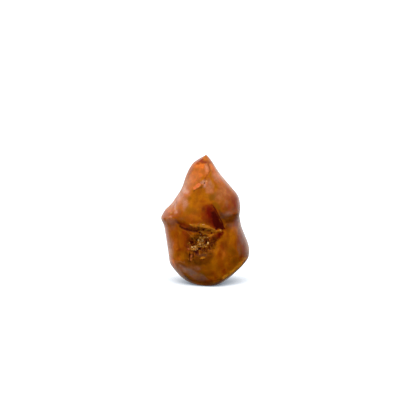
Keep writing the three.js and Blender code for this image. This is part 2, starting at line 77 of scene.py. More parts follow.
# Colour marks on the front, some of them painted shade, glow, reflections and glints, each as (x, z, half
# width, half height, tilt in degrees, strength, softness)
MARKS = {
    "orange": [
        (-2.5, 56.9, 3.5, 1.9, 0, 1, 0.7), (-3.4, 53.8, 3.3, 2.8, 0, 0.6, 0.9),
        (-5.7, 50.5, 2.3, 3.3, -20, 0.4, 0.9), (-3.9, 56, 2.3, 2.3, 0, 0.5, 0.8),
        (0.8, 48.9, 2.8, 2.3, 0, 0.5, 0.9), (2.2, 51.6, 1.9, 2.3, 0, 0.4, 0.9),
        (-8.5, 45, 1.9, 3.7, -35, 0.5, 0.8), (-12.5, 39, 1.4, 2.8, -15, 0.4, 0.8),
        (-17.1, 36, 1.2, 0.7, 35, 0.5, 0.8), (0.3, 60.7, 1, 0.9, 0, 0.3, 0.6),
        (4.1, 55.1, 1.6, 3.3, 28, 1, 0.9), (6, 52.2, 1.9, 3.7, 30, 0.8, 0.9),
        (8.3, 48.5, 2.3, 3.7, 30, 0.3, 0.9), (0.4, 54.3, 1.4, 2.8, 0, 0.8, 0.9),
        (3.2, 50.7, 1.4, 2.8, 10, 0.5, 0.9), (-8, 19, 1.2, 0.9, 30, 0.9, 0.6),
        (-14.2, 19.7, 1.4, 4.2, 0, 0.5, 0.9), (-15, 11.2, 0.7, 2.3, 20, 0.8, 0.8),
        (-12.8, 14, 1.2, 1.2, 0, 0.6, 0.8), (12.1, 27.9, 1.2, 2.3, 0, 0.5, 0.9),
        (-8, 33.9, 3.7, 1.4, -10, 0.35, 0.9), (8.8, 17.4, 1.4, 3.7, 0, 0.4, 0.9),
        (-5.2, 35.3, 2.3, 1.4, 0, 0.3, 0.9), (1.8, 45.8, 2.1, 1.9, 0, 0.5, 0.9),
        (2.7, 54.3, 0.7, 2.8, -6, 0.45, 0.9), (-18.5, 22.5, 0.7, 5.6, 4, 0.6, 0.9),
        (-16.5, 15.7, 0.7, 2.3, 12, 0.6, 0.9), (5.5, 50.5, 1.4, 2.8, 30, 0.5, 0.9),
    ],
    # painted reflection: milky pink where the polish mirrors the white walls and the floor
    "painted_pink_sheen": [
        (-9.4, 45.8, 1.4, 1.7, -25, 0.85, 0.8), (-12.3, 42, 1.7, 2.8, -32, 0.7, 0.8),
        (-15, 39.4, 0.7, 1.9, -38, 0.6, 0.8), (-9.8, 39.8, 1.6, 2.8, 0, 0.6, 0.9),
        (0.6, 56.1, 1, 2.6, -5, 0.4, 0.9), (-0.1, 48, 1.3, 1.2, 0, 0.85, 0.9),
        (2.2, 48.9, 1.5, 2.3, 20, 0.45, 0.9), (-16.3, 33.1, 0.7, 0.5, 20, 0.4, 0.6),
        (-16.5, 31.4, 1.9, 1.4, -30, 0.35, 0.9), (6.9, 43.7, 3.3, 3.3, 30, 0.18, 0.9),
        (11.1, 35.1, 2.3, 1.2, 0, 0.25, 0.9), (-14.6, 31.1, 1.9, 1.4, 0, 0.2, 0.9),
        (-10.5, 8.3, 2.3, 1.9, -22, 0.5, 0.9), (-6.7, 8.1, 2.8, 1.4, -22, 0.15, 0.9),
        (-13.8, 10.6, 1.4, 1.6, -30, 0.35, 0.9), (-3.9, 9.8, 1.9, 1.1, -10, 0.2, 0.9),
        (-16, 11.4, 0.7, 1.9, 15, 0.2, 0.8), (5.5, 51.9, 1.4, 2.8, 30, 0.45, 0.9),
        (1.8, 46.2, 1.6, 1.6, 0, 0.35, 0.9), (-1.2, 49.7, 0.7, 0.6, 0, 0.7, 0.7),
        (-0.6, 49.7, 1, 0.9, 0, 0.6, 0.8), (-9, 45.6, 1.6, 1.4, -25, 0.8, 0.9),
        (4.4, 57.3, 0.7, 3.3, 33, 0.6, 0.9), (7.4, 52.1, 0.8, 3.3, 36, 0.5, 0.9),
        (10.1, 48.1, 0.8, 2.3, 36, 0.35, 0.9), (-15.7, 18.9, 1.2, 3.7, 4, 0.4, 0.9),
        (-17.2, 31.5, 1.1, 1.9, 0, 0.4, 0.9), (9.7, 40, 1.9, 1.9, 0, 0.2, 0.9),
        (-17.5, 30.8, 1.9, 1.4, -10, 0.3, 0.9),
    ],
    "gold": [
        (-1.5, 51, 1.1, 1.2, 40, 0.7, 0.7), (2.7, 53, 1, 2.8, -6, 0.8, 0.7),
        (3.2, 49.8, 1.2, 2.3, -25, 0.9, 0.7), (4.6, 47, 1.5, 2.1, -25, 0.6, 0.8),
        (-5.2, 43, 2.8, 2.3, 15, 0.8, 0.8), (-7.3, 40.2, 1.4, 3.3, 10, 1, 0.7),
        (-0.1, 44.4, 2.3, 2.8, 0, 0.9, 0.8), (-2.4, 41.7, 2.8, 2.3, 0, 0.4, 0.9),
        (-7.6, 36.6, 2.3, 1.9, 20, 0.8, 0.8), (-3.8, 38.5, 1.4, 2.3, 0, 0.5, 0.8),
        (11.8, 27, 1.4, 1.9, -10, 0.5, 0.8), (12, 23.8, 1.4, 2.8, -10, 0.7, 0.9),
        (6.9, 24.1, 1.2, 2.8, -40, 0.8, 0.7), (5, 19.4, 1.4, 4.7, -12, 0.8, 0.8),
        (3.2, 12.8, 2.1, 3.3, 0, 0.5, 0.9), (-14.7, 15.9, 1.1, 2.1, 8, 1, 0.6),
        (-9, 14.7, 2.3, 1.7, 5, 1, 0.7), (11.6, 7.7, 2.1, 1.1, 35, 1, 0.7),
        (7.8, 25, 1.9, 1.6, 30, 0.6, 0.8), (-15.8, 35.3, 0.7, 0.5, 0, 0.8, 0.6),
        (-1, 9.4, 1.4, 1.9, 0, 0.25, 0.9), (-9, 35.2, 1.9, 1.4, 0, 0.5, 0.9),
        (-3.4, 33.1, 1.4, 1.4, 0, 0.5, 0.8), (13.5, 18.5, 1, 1.2, 0, 0.5, 0.8),
        (-0.3, 34.2, 0.9, 0.6, 0, 0.6, 0.7), (17.6, 13, 0.8, 1.5, 30, 0.8, 0.6),
        (-4.4, 54.6, 1.4, 1.4, 0, 0.2, 0.9), (-12.5, 39, 1.2, 2.3, -15, 0.5, 0.8),
        (-11.8, 31.3, 2.3, 0.9, -10, 0.3, 0.9), (0.1, 60.7, 1, 1, 0, 0.6, 0.8),
        (-15.8, 35.1, 0.6, 0.5, 0, 0.8, 0.6), (-12.5, 37.6, 1.4, 1.4, 0, 0.6, 0.9),
        (-5.5, 23.7, 1.4, 1.4, -40, 0.6, 0.8), (-6.2, 46.1, 1.9, 2.3, -30, 0.4, 0.9),
        (3.2, 52, 1.4, 2.3, 0, 0.4, 0.9),
    ],
    "olive": [
        (3, 43, 1.7, 2, 0, 1, 0.6), (5.5, 38.9, 2.1, 1.4, -30, 0.9, 0.7),
        (-2.2, 48.1, 1, 1.1, -35, 0.6, 0.8), (-7.8, 42.5, 1.4, 1.2, 0, 0.6, 0.8),
        (-7.1, 37.1, 2.1, 1.9, 0, 0.5, 0.9), (-1.5, 16.8, 2.8, 2.6, 0, 0.9, 0.8),
        (-1.5, 6.3, 3, 2.1, -10, 0.8, 0.8), (-5.7, 24.5, 1.9, 2.1, -40, 0.3, 0.8),
        (12, 18.2, 1.4, 2.3, 0, 0.6, 0.9), (-3.4, 12.3, 4.2, 1.6, -5, 0.8, 0.8),
        (2.2, 10.4, 2.3, 2.3, 0, 0.5, 0.9), (10.6, 22, 1.2, 2.3, 0, 0.4, 0.8),
        (-7.2, 5.3, 2.8, 1.4, -25, 0.5, 0.9), (-0.1, 27.2, 1.1, 0.7, 10, 0.6, 0.7),
        (12.1, 30, 1.4, 1.9, 0, 0.5, 0.8), (-9.5, 12, 1.9, 0.9, 0, 0.3, 0.9),
        (-5.8, 7.7, 6.5, 3.3, 0, 0.4, 0.9), (-2.9, 5.1, 4.2, 1.9, 0, 0.5, 0.9),
    ],
    "rust": [
        (-1.1, 59, 3.5, 0.9, -6, 1, 0.7), (2.1, 57.6, 0.7, 2.1, -25, 0.45, 0.8),
        (3.6, 54.2, 0.7, 2.3, -32, 0.1, 0.9), (-7, 54.4, 0.9, 2.8, -28, 0.45, 0.9),
        (-1.5, 41, 1.4, 1.2, 0, 0.5, 0.8), (0.2, 37.6, 2.3, 1.9, 0, 1, 0.7),
        (-1, 35.1, 1.9, 1.6, 0, 0.75, 0.8), (10.7, 45.3, 1.2, 1.4, 30, 0.5, 0.8),
        (13, 41.5, 1.7, 2.8, 15, 0.8, 0.8), (11.1, 38.2, 2.8, 2.3, -15, 0.75, 0.8),
        (12.1, 31.4, 2.8, 1.6, 0, 0.6, 0.8), (-11.8, 35.5, 1.9, 1.4, 0, 0.4, 0.9),
        (-13.7, 26.5, 1.4, 4.2, 0, 0.5, 0.8), (-10.9, 22.9, 1, 4.2, 0, 0.5, 0.8),
        (-9, 29.5, 1.4, 1.4, 0, 0.5, 0.8), (-12.1, 17.8, 1.2, 1.5, 0, 0.8, 0.7),
        (8.3, 20.3, 1.7, 2.3, 0, 0.75, 0.8), (6.9, 16.6, 1.2, 2.8, 0, 0.6, 0.8),
        (7.4, 11.2, 1.4, 2.8, 5, 0.5, 0.9), (8.6, 7.7, 1.4, 1.9, 8, 0.9, 0.7),
        (16.8, 14.8, 1.2, 1.6, -20, 0.8, 0.8), (-5.7, 31.9, 2.3, 0.9, 0, 0.6, 0.8),
        (-1, 33.5, 1.6, 2, 0, 0.9, 0.8), (-2.5, 60.1, 1.4, 0.6, 25, 0.4, 0.8),
        (-18.1, 35.2, 2.3, 1.4, 30, 0.5, 0.8), (-19, 33.4, 0.9, 1.4, 0, 0.5, 0.9),
        (-13.7, 39.2, 0.9, 1.9, -35, 0.5, 0.9), (14.5, 40, 1.9, 4.2, 8, 0.9, 0.7),
        (14.5, 30.6, 1.9, 2.8, -10, 0.9, 0.8), (16.3, 23.2, 1.6, 3.7, -18, 0.8, 0.8),
        (18.1, 18.4, 1.4, 3.3, -5, 1, 0.8), (14.4, 20.3, 1.4, 2.8, 0, 0.5, 0.9),
        (-18.1, 23.7, 0.9, 4.7, 4, 0.5, 0.9), (-11.4, 43, 1.4, 2.3, -30, 0.3, 0.9),
        (-2.5, 59.8, 1.9, 0.6, 30, 0.6, 0.8), (0.3, 61.2, 0.9, 0.7, 0, 0.3, 0.9),
        (-14.7, 22.5, 1.9, 4.7, 0, 0.25, 0.9), (10.2, 25.8, 0.8, 2.3, 0, 0.3, 0.9),
        (3.6, 6.9, 1.9, 1.4, 0, 0.5, 0.9), (-7.1, 32.5, 2.8, 1.9, 0, 0.3, 0.9),
        (10.7, 41.8, 2.3, 2.3, 0, 0.5, 0.8), (10.2, 21.1, 1.4, 2.8, 0, 0.5, 0.9),
        (5.9, 27.9, 1.4, 0.9, 0, 0.7, 0.8), (-3.8, 31.8, 4.2, 0.9, 4, 0.5, 0.9),
        (-14.1, 34, 2.3, 1.1, 0, 0.5, 0.9), (-3.9, 58.4, 1.4, 0.7, -10, 0.5, 0.8),
        (-12.3, 15.1, 1.4, 1.2, 0, 0.35, 0.9), (-15.6, 29, 1.7, 2.8, 0, 0.5, 0.9),
        (4.6, 5.4, 1.4, 1.4, 0, 0.5, 0.9), (-10.4, 18.6, 1.4, 1.9, 0, 0.6, 0.9),
        (8.7, 28.2, 0.9, 2, 20, 0.7, 0.9), (-4.4, 59, 1.4, 0.7, 35, 0.5, 0.8),
        (-14.6, 34, 2.3, 1.1, 0, 0.5, 0.9), (14, 37.4, 1.4, 2.3, 0, 0.4, 0.9),
        (11.1, 29.3, 1.4, 1.4, 0, 0.4, 0.9), (-7.1, 26.4, 1.4, 0.7, 0, 0.6, 0.9),
        (-14.6, 35.3, 1.9, 1.1, 0, 0.4, 0.9), (2.2, 3.3, 5.6, 1.4, 0, 0.5, 0.8),
    ],
    # painted glow: the thin lower rim that the light shines through, painted bright orange
    "painted_glow": [
        (16.4, 11.2, 1.9, 0.7, 40, 0.5, 0.8), (9.8, 3.7, 2.8, 0.5, 36, 0.5, 0.8),
        (5, 2.9, 1.9, 0.7, 10, 0.3, 0.9),
    ],
    # partly painted shade: the deep red beside the inclusion is the stone's own, the deep red in the folds is
    # painted shade
    "garnet_and_fold_shade": [
        (-6.2, 28.5, 4.2, 0.8, -8, 0.6, 0.8), (7.6, 26.1, 0.8, 1.6, 20, 0.9, 0.7),
        (4.1, 23.2, 0.9, 2.8, -40, 0.6, 0.8), (-4.3, 17.3, 1.9, 0.7, -10, 0.5, 0.8),
        (-0.6, 37.6, 1.1, 0.9, 0, 0.5, 0.8), (9.7, 34.9, 2.3, 0.6, 0, 0.4, 0.8),
        (-8, 25, 0.9, 1.9, 10, 0.4, 0.9), (-12, 18.2, 0.7, 0.8, 0, 0.3, 0.9),
        (17.8, 15.6, 0.7, 1.4, -20, 0.1, 0.9), (5.7, 25.1, 1, 1.9, -35, 0.8, 0.8),
        (10.1, 35.6, 3.3, 0.9, 0, 0.5, 0.8), (14.4, 36.9, 1.4, 1.9, 0, 0.35, 0.9),
        (6.6, 25.5, 1.2, 2, -30, 1, 0.8), (13.9, 34.5, 1.4, 0.7, 0, 0.5, 0.8),
        (-15.1, 30.6, 1.9, 1.1, -10, 0.35, 0.9), (-10.9, 29.6, 2.3, 0.8, -14, 0.6, 0.9),
        (-1.1, 4.7, 2.3, 0.9, 0, 0.5, 0.9), (-1.5, 3.6, 2.8, 0.9, 0, 0.5, 0.9),
    ],
    # painted reflection: greyish lilac haze where the right flank and the foot mirror the grey surroundings
    "painted_mauve_sheen": [
        (17.6, 23, 1.6, 4.7, -22, 0.9, 0.8), (16.4, 27.1, 1.4, 2.8, -15, 0.7, 0.8),
        (19.1, 18.2, 1.1, 2.8, -8, 0.6, 0.8), (15, 30.9, 1.4, 1.4, 0, 0.35, 0.8),
        (-15.6, 29, 1.6, 2.3, 0, 0.4, 0.9), (8.7, 33.7, 1.9, 1.1, 0, 0.35, 0.8),
        (15.8, 17.8, 1.1, 2.8, -5, 0.5, 0.8), (-11.3, 32.8, 1.9, 0.9, -20, 0.3, 0.9),
        (-13.5, 39.5, 0.6, 2.8, -5, 0.35, 0.9), (-10, 9.2, 2.8, 1.5, -22, 0.7, 0.9),
        (-6.7, 7.9, 2.8, 1.6, -22, 0.8, 0.9), (9.7, 35.3, 3.3, 1.1, 0, 0.25, 0.9),
        (19.3, 19.5, 1.2, 4.7, -6, 0.6, 0.9), (-7.1, 9.7, 5.1, 1.9, 0, 0.35, 0.9),
    ],
    # partly painted shade: dark brown patches of the stone, with more of it under the belt, low in the hollow
    # and along the foot as painted shade
    "umber_and_shade": [
        (-7.6, 24.1, 1.5, 3.7, 5, 0.5, 0.8), (3.6, 22.7, 1.9, 2.3, -40, 0.75, 0.8),
        (10.6, 34.1, 4.7, 1.1, 0, 0.6, 0.8), (10.6, 31.6, 3.3, 1.9, 5, 0.7, 0.8),
        (10.2, 29, 1.2, 1.9, 0, 0.7, 0.8), (-1, 14.8, 4.7, 2.3, 0, 0.4, 0.9),
        (-7.1, 12.1, 3.7, 1.9, -5, 0.5, 0.9), (-2.5, 9.9, 4.7, 1.9, -5, 0.4, 0.9),
        (-7.6, 25, 1.4, 2.3, 0, 0.5, 0.8), (0.8, 21.4, 1.4, 1.9, 0, 0.7, 0.8),
        (18.8, 17.3, 0.9, 2.3, -5, 0.15, 0.9), (-7.1, 19.3, 1.9, 1.9, 0, 0.5, 0.8),
        (-9.9, 16.8, 2.3, 1.9, 0, 0.25, 0.9), (9.2, 20.3, 1.4, 2.8, 0, 0.35, 0.9),
        (14, 12.7, 2.3, 2.1, -25, 0.5, 0.9), (11.6, 9.5, 1.6, 1.2, -30, 0.35, 0.9),
        (13, 16.7, 1.4, 1.9, 0, 0.5, 0.9), (-1.1, 2.5, 7.5, 1.4, -3, 0.55, 0.7),
        (-8.2, 3.5, 3.3, 1.2, -28, 0.7, 0.8), (6.5, 4.3, 1.9, 1.2, 20, 0.5, 0.8),
        (-3.9, 17.7, 2.8, 1.4, 0, 0.6, 0.8), (1.8, 7, 2.8, 1.9, 0, 0.5, 0.9),
        (-10.9, 10.8, 3.7, 1.1, -5, 0.6, 0.8), (-1, 37.2, 0.9, 1.4, 0, 0.5, 0.8),
        (1.1, 31.7, 1.9, 1.9, 0, 0.5, 0.8), (-11.8, 28.5, 4.7, 1.1, -14, 0.4, 0.9),
        (-2, 21.8, 3.3, 2.8, 0, 0.5, 0.9), (6, 9.8, 1.4, 2.3, 0, 0.3, 0.9),
        (15.4, 36.3, 0.9, 2.8, 0, 0.4, 0.9), (-9, 21.6, 1.4, 2.8, 0, 0.4, 0.9),
        (9.7, 39.2, 1.4, 1.9, 0, 0.25, 0.9), (-4.3, 10.3, 4.7, 0.9, -4, 0.3, 0.9),
        (9.2, 37, 2.8, 1.9, -15, 0.5, 0.9), (13.5, 36.6, 1.4, 1.9, 0, 0.55, 0.9),
        (6.9, 38.8, 1.6, 1.9, 0, 0.35, 0.9), (11.6, 29.2, 1.9, 1.9, 0, 0.5, 0.9),
        (1.3, 25.8, 1.4, 0.9, 0, 0.5, 0.8), (-4.3, 36.2, 2.3, 1.4, 0, 0.35, 0.9),
        (-9, 33.8, 2.3, 1.4, 0, 0.35, 0.9), (-7.6, 26.4, 1.4, 1.1, 0, 0.5, 0.8),
        (4.6, 5.4, 1.4, 1.4, 0, 0.3, 0.9), (-2, 31.2, 2.3, 0.9, 8, 0.4, 0.8),
        (1.3, 30.3, 1.4, 0.7, 8, 0.4, 0.8), (-10.9, 10.3, 1.9, 1.2, -20, 0.5, 0.9),
        (-13.2, 30.9, 1.9, 0.7, -12, 0.6, 0.8), (-11.8, 15.8, 1.4, 0.9, 0, 0.3, 0.9),
        (16.3, 17.3, 1.1, 1.9, 0, 0.35, 0.9), (11.1, 36.1, 2.3, 1.4, 0, 0.4, 0.9),
        (-1.5, 3.6, 3.7, 1.4, 0, 0.5, 0.9), (15.5, 29.5, 0.9, 1.9, 0, 0.3, 0.9),
        (-11.8, 15.6, 1.4, 0.9, 0, 0.3, 0.9), (-5.2, 31.2, 2.8, 0.7, 2, 0.3, 0.9),
        (1.3, 30.8, 1.9, 0.7, 10, 0.45, 0.9), (-7.6, 20.2, 0.9, 0.9, 0, 0.4, 0.9),
        (10.6, 35.7, 2.3, 0.9, 0, 0.5, 0.9), (9.3, 4.6, 1.9, 0.7, 30, 0.3, 0.8),
        (10.1, 35.6, 2.3, 0.9, 0, 0.5, 0.9),
    ],
    # partly painted shade: the inclusion's dark red is the stone's own, the dark pockets in the hollow and
    # the dark line along the foot are painted shade
    "iron_and_shade": [
        (-0.6, 28, 1.2, 0.5, 0, 0.9, 0.6), (-2.6, 26.7, 0.7, 0.6, 0, 1, 0.6),
        (-1.9, 25.4, 0.8, 0.6, -20, 1, 0.6), (0.4, 21.8, 0.7, 1, 0, 1, 0.6),
        (-4.1, 22.7, 0.7, 0.6, 0, 0.8, 0.6), (-6.5, 21.8, 1.2, 0.9, -10, 1, 0.6),
        (-5.1, 20.7, 0.7, 0.6, 0, 0.8, 0.6), (-2.6, 18.6, 0.8, 0.6, 10, 1, 0.6),
        (-4.2, 17.2, 1.2, 0.6, -15, 0.9, 0.6), (2, 19.7, 1.1, 0.6, 20, 0.7, 0.7),
        (-7.3, 15.8, 0.4, 1.4, 8, 0.8, 0.6), (-5.7, 16.1, 0.3, 1.1, 8, 0.6, 0.6),
        (-6.2, 18.5, 0.5, 0.7, 0, 0.6, 0.6), (5.2, 28.5, 1.1, 0.6, 20, 0.9, 0.6),
        (3, 26.6, 1.1, 0.5, 10, 0.6, 0.7), (-0.4, 49.3, 0.4, 0.4, 0, 1, 0.5),
        (1.3, 1.3, 5.6, 0.6, 0, 0.25, 0.6), (7.2, 25.8, 0.7, 1.2, 10, 0.25, 0.6),
        (-0.4, 18.8, 1.1, 0.4, 10, 0.5, 0.7), (-1.8, 19.6, 0.6, 0.3, 0, 0.7, 0.6),
        (-3.8, 19.9, 0.4, 0.3, 0, 0.7, 0.6), (0, 23.1, 0.7, 0.3, 20, 0.7, 0.6),
        (-2, 22.2, 0.3, 0.5, 0, 0.7, 0.6), (8.1, 29.6, 0.7, 1.9, 25, 0.9, 0.6),
        (-8.8, 19.7, 0.6, 1.4, 0, 0.5, 0.7),
    ],
    "amber": [
        (-3.9, 47.8, 1.2, 0.7, 40, 1, 0.6), (-6.4, 14.8, 0.4, 1.9, -8, 0.6, 0.7),
        (-7.9, 19, 0.7, 0.7, 0, 0.6, 0.7),
    ],
    "ochre": [
        (-7, 30.3, 0.7, 0.5, 0, 0.9, 0.6), (7, 27.7, 0.7, 0.5, -10, 1, 0.6),
        (1.1, 28.6, 1.2, 0.5, -15, 0.8, 0.6), (-1.2, 14.9, 1.5, 0.6, 5, 1, 0.6),
        (-0.1, 19.9, 1.6, 0.6, 5, 0.9, 0.6), (1.4, 21.6, 0.4, 0.6, 0, 0.9, 0.6),
        (-1, 26.8, 1, 0.4, -40, 0.9, 0.6), (-5, 18.8, 1.4, 0.8, -10, 0.6, 0.7),
        (-7.5, 19.6, 0.5, 0.6, 0, 0.5, 0.6), (-8.5, 14, 1.6, 0.6, 10, 0.5, 0.8),
        (-5.7, 24, 1.2, 0.9, -40, 0.4, 0.8), (-2.3, 23.7, 0.7, 0.7, 0, 0.7, 0.7),
        (-2.6, 20.7, 0.7, 0.6, 0, 0.7, 0.7), (-3.4, 29, 1.2, 0.4, 0, 0.4, 0.8),
        (-5.5, 23.6, 1.1, 1, -40, 0.55, 0.8), (-15.9, 35.2, 0.7, 0.6, 0, 0.55, 0.7),
        (-2.5, 24.4, 0.9, 0.7, 0, 0.4, 0.8), (-5.1, 22.8, 0.7, 0.7, 0, 0.4, 0.8),
    ],
    # partly painted highlight: bright glints in the ridge chips, on the ledge and among the crystals, partly
    # cream mineral
    "cream_and_glint": [
        (-1.2, 50.2, 0.6, 0.6, 10, 0.35, 0.6), (0.6, 50.2, 0.5, 0.7, -10, 0.55, 0.6),
        (-1, 30.5, 0.8, 0.3, 0, 0.45, 0.6), (-6.8, 30.2, 0.5, 0.3, 0, 0.5, 0.6),
        (7, 27.7, 0.4, 0.4, 0, 0.45, 0.6), (0.3, 23.9, 1.1, 0.4, 20, 0.55, 0.6),
        (-7.7, 21.5, 0.4, 0.4, 0, 0.6, 0.6), (-2.3, 25.7, 0.2, 0.2, 0, 0.8, 0.6),
        (1.2, 21.6, 0.3, 0.4, 0, 0.6, 0.6), (-2.6, 23.4, 0.4, 0.4, 0, 0.6, 0.6),
    ],
}

# Fine lines on the front: the points along each as (x, z), its half width, how far it is raised (or, below
# nothing, cut in), and the colour layer that it carries with its strength
LINES = [
    ([(-6.8, 30.1), (-4.8, 30.1), (-2.9, 30.1)], 0.56, 0.26, "ochre", 1),
    ([(-2.4, 30.2), (-0.6, 29.7), (1.6, 29)], 0.79, 0.34, "ochre", 1),
    ([(1.1, 29.6), (2.7, 28.8), (4.4, 28)], 0.47, 0.22, "ochre", 0.9),
    ([(-5.7, 29.2), (-3.8, 29)], 0.28, 0.14, "ochre", 0.7),
    ([(-0.1, 27.8), (1.8, 28.2), (3.6, 27.6), (5.5, 27.2), (7.3, 27.5)], 0.42, 0.22, "ochre", 0.95),
    ([(3.6, 25.8), (2, 24.9), (0.4, 24.1), (-1.1, 23.6)], 0.47, 0.24, "ochre", 0.95),
    ([(-2.3, 27.5), (-1, 26.6), (0.2, 25.9), (1.8, 25.7)], 0.33, 0.2, "ochre", 0.8),
    ([(-8.2, 26.7), (-6.9, 25.5), (-5.5, 23.9), (-4.1, 22.3)], 0.28, 0.12, "ochre", 0.6),
    # painted shade: dark lines along the fold across the front
    ([(-6.6, 28), (-3.8, 27.9), (-1, 27.8)], 0.33, -0.2, "iron_and_shade", 0.6),
    ([(-11.8, 29.2), (-9.9, 28.6), (-7.6, 27.7), (-5.2, 27.3), (-3.8, 27.2)], 0.61, -0.1, "iron_and_shade", 0.85),
    ([(-12.7, 30.4), (-9.9, 29.3), (-7.1, 28)], 0.61, -0.03, "garnet_and_fold_shade", 0.35),
    ([(-6.6, 16.4), (-6.4, 14.5), (-6.1, 12.5)], 0.23, 0.1, "orange", 1),
    ([(-7.3, 17.4), (-7.1, 15), (-6.9, 12.6)], 0.23, -0.16, "iron_and_shade", 0.7),
    ([(-5.7, 17.2), (-5.5, 15.1), (-5.3, 13.2)], 0.23, -0.12, "iron_and_shade", 0.5),
    ([(-14, 13.1), (-12.3, 14.4), (-10.6, 15.4)], 0.23, -0.04, "ochre", 0.5),
    # painted reflection: a faint milky pink line
    ([(-13.8, 12.4), (-11.9, 12.2), (-9.5, 12.2)], 0.21, -0.05, "painted_pink_sheen", 0.25),
    ([(2, 58.1), (1.9, 56.1), (1.7, 54.2), (0.8, 52.6), (-0.1, 51), (-0.4, 49.9)],
     0.21, -0.02, "umber_and_shade", 0.45),
    ([(1.7, 54.2), (0.8, 52.6), (0, 51.2)], 0.33, 0, "umber_and_shade", 0.4),
    ([(-2.3, 47.8), (-3.4, 46.9), (-4.4, 45.9), (-5.5, 45.2)], 0.23, -0.05, "umber_and_shade", 0.7),
    ([(-2.6, 48.8), (-3.8, 47.9), (-5.1, 46.8)], 0.7, 0.08, "amber", 1),
    ([(3.8, 38.9), (5.5, 36), (7.2, 32.9), (9, 28.4)], 0.23, -0.04, "iron_and_shade", 0.9),
    ([(7.3, 26.9), (6.6, 25.3), (4.8, 23), (2.2, 20.3)], 0.56, -0.06, "iron_and_shade", 0.5),
    ([(-8.3, 27.7), (-8.7, 24), (-8, 18.8)], 0.47, -0.06, "iron_and_shade", 0.35),
    ([(-12.5, 26.6), (-12.8, 22.3), (-12.1, 19)], 0.33, 0, "rust", 0.7),
    ([(-10.2, 26.7), (-10.4, 22.9), (-9.7, 19.7)], 0.28, 0, "rust", 0.6),
    # painted reflection: a milky pink line along the left edge
    ([(-14.4, 40), (-14, 37.9), (-13.7, 35.4)], 0.33, 0, "painted_pink_sheen", 0.6),
    ([(-3.1, 12.6), (-1, 12.8), (-0.8, 10.9)], 0.19, 0, "umber_and_shade", 0.5),
]

# Broad, soft swellings that turn the light on the flanks: (corners as (x, z), half width, height in mm)
FORMS = [
    ([(-20.3, 33.1), (-18.8, 35.5)], 1.68, 0.35),
    ([(-15.2, 38.6), (-13.9, 36.9), (-13.4, 34.9)], 2.05, -0.42),
    ([(14.5, 45.3), (15.2, 41.6), (15, 35.5)], 1.21, 0.22),
    ([(12.5, 29.1), (13.5, 24.6), (14.6, 19.8), (15.7, 16.9)], 3.72, 0.45),
]

# Patches of colour with an outline of their own: (layer, strength, softness of the edge, corners as (x, z))
PATCHES = [
    ("rust", 1, 1.21,
     [(-1.7, 37.6), (0.4, 39.2), (3.6, 39), (6.4, 33.9), (8.7, 28.6), (4.5, 28.4), (0.4, 30.8), (-1.5, 34)]),
    ("iron_and_shade", 0.9, 0.93,
     [(2.5, 36.3), (4.3, 37.6), (6.6, 33.4), (8.7, 28.6), (8, 27.5), (5.3, 28.6), (3.6, 30.3), (3, 33)]),
    ("garnet_and_fold_shade", 0.95, 0.93,
     [(-0.1, 37.8), (0.8, 38.8), (3.6, 39), (6.4, 33.9), (8.7, 28.2), (4.1, 28.9), (2, 30.8), (0.4, 34.5)]),
    # painted shade under the belt on the right
    ("umber_and_shade", 0.6, 1.21,
     [(5.5, 35.8), (10.1, 35.8), (13, 35.5), (13, 34.1), (11.6, 33.3), (8.7, 33.2), (6.7, 34)]),
    # painted glow along the lower right rim
    ("painted_glow", 0.8, 0.51,
     [(7.9, 3), (12.1, 5.7), (16.4, 9.4), (19.3, 12.8), (18.6, 12.8), (15.4, 10.6), (11.9, 7.8), (8.1, 4.5)]),
    ("umber_and_shade", 0.7, 1.21,
     [(-9.5, 18.2), (-7.1, 16.5), (-3.9, 17.3), (2.2, 18.5), (3.9, 16.1), (2.2, 11.9), (-3.9, 10.8),
     (-9, 12)]),
    ("rust", 0.8, 1.02,
     [(-10.6, 27.7), (-8, 27.3), (-7.1, 23), (-7.6, 18.3), (-8.5, 17.4), (-9.9, 18.2), (-10.9, 21.5)]),
    # painted reflection: lilac haze on the right flank
    ("painted_mauve_sheen", 0.5, 1.21,
     [(15.9, 28.5), (17.9, 26.2), (20.4, 19.8), (21.3, 15.3), (19.3, 13.3), (16.8, 16.7), (15.2, 22.5)]),
    ("umber_and_shade", 0.8, 1.12,
     [(5.2, 38), (6.9, 37.5), (10.1, 35.1), (9.7, 31.2), (7.6, 32.4)]),
    # painted shade in the fold on the left
    ("garnet_and_fold_shade", 0.8, 0.84,
     [(-14.6, 32.7), (-11.8, 31.7), (-8, 30.2), (-3.4, 29.4), (-3.4, 28.2), (-7.1, 27.8), (-10.9, 29),
     (-14.2, 30.8)]),
    ("umber_and_shade", 0.75, 0.93,
     [(0.8, 24.1), (3.6, 24.6), (5.8, 23.2), (3.6, 19.4), (1.3, 17.9), (0.4, 20.9)]),
    ("rust", 0.5, 0.93,
     [(-8.5, 26.4), (-6.6, 23.6), (-3.9, 22.1), (-2.5, 24.7), (0.4, 25.7), (7.3, 26.4), (5, 21.7),
     (1.8, 18.4), (-2.5, 16.8), (-7.1, 17.9), (-9, 21.1)]),
]

# The hollow and its unpolished floor, as (x, z, half width, half height, tilt, strength, softness)
ROUGH_GROUND = [
    (-1.5, 21.3, 7.91, 6.52, 20, 1, 0.35), (-0.1, 27.7, 6.05, 2.56, -14, 1, 0.4),
    (-6.7, 15, 1.4, 3.03, 0, 0.8, 0.5), (-1, 14.8, 2.09, 1.21, 0, 0.7, 0.5),
    (-7.1, 28, 4.19, 1.21, -20, 0.7, 0.5),
]

# The rough grain of the hollow, in mm: how wide a facet is, how far the facets and the broader lumps stand
# out, the two corners of the box that the facets fill, and a depth (y) that the whole hollow lies in front of
GRAIN_SIZE = 0.75
GRAIN_HEIGHT = 0.2
LUMP_HEIGHT = 0.18
GRAIN_BOX = (-13, 10), (11, 36)
HOLLOW_FRONT = -5

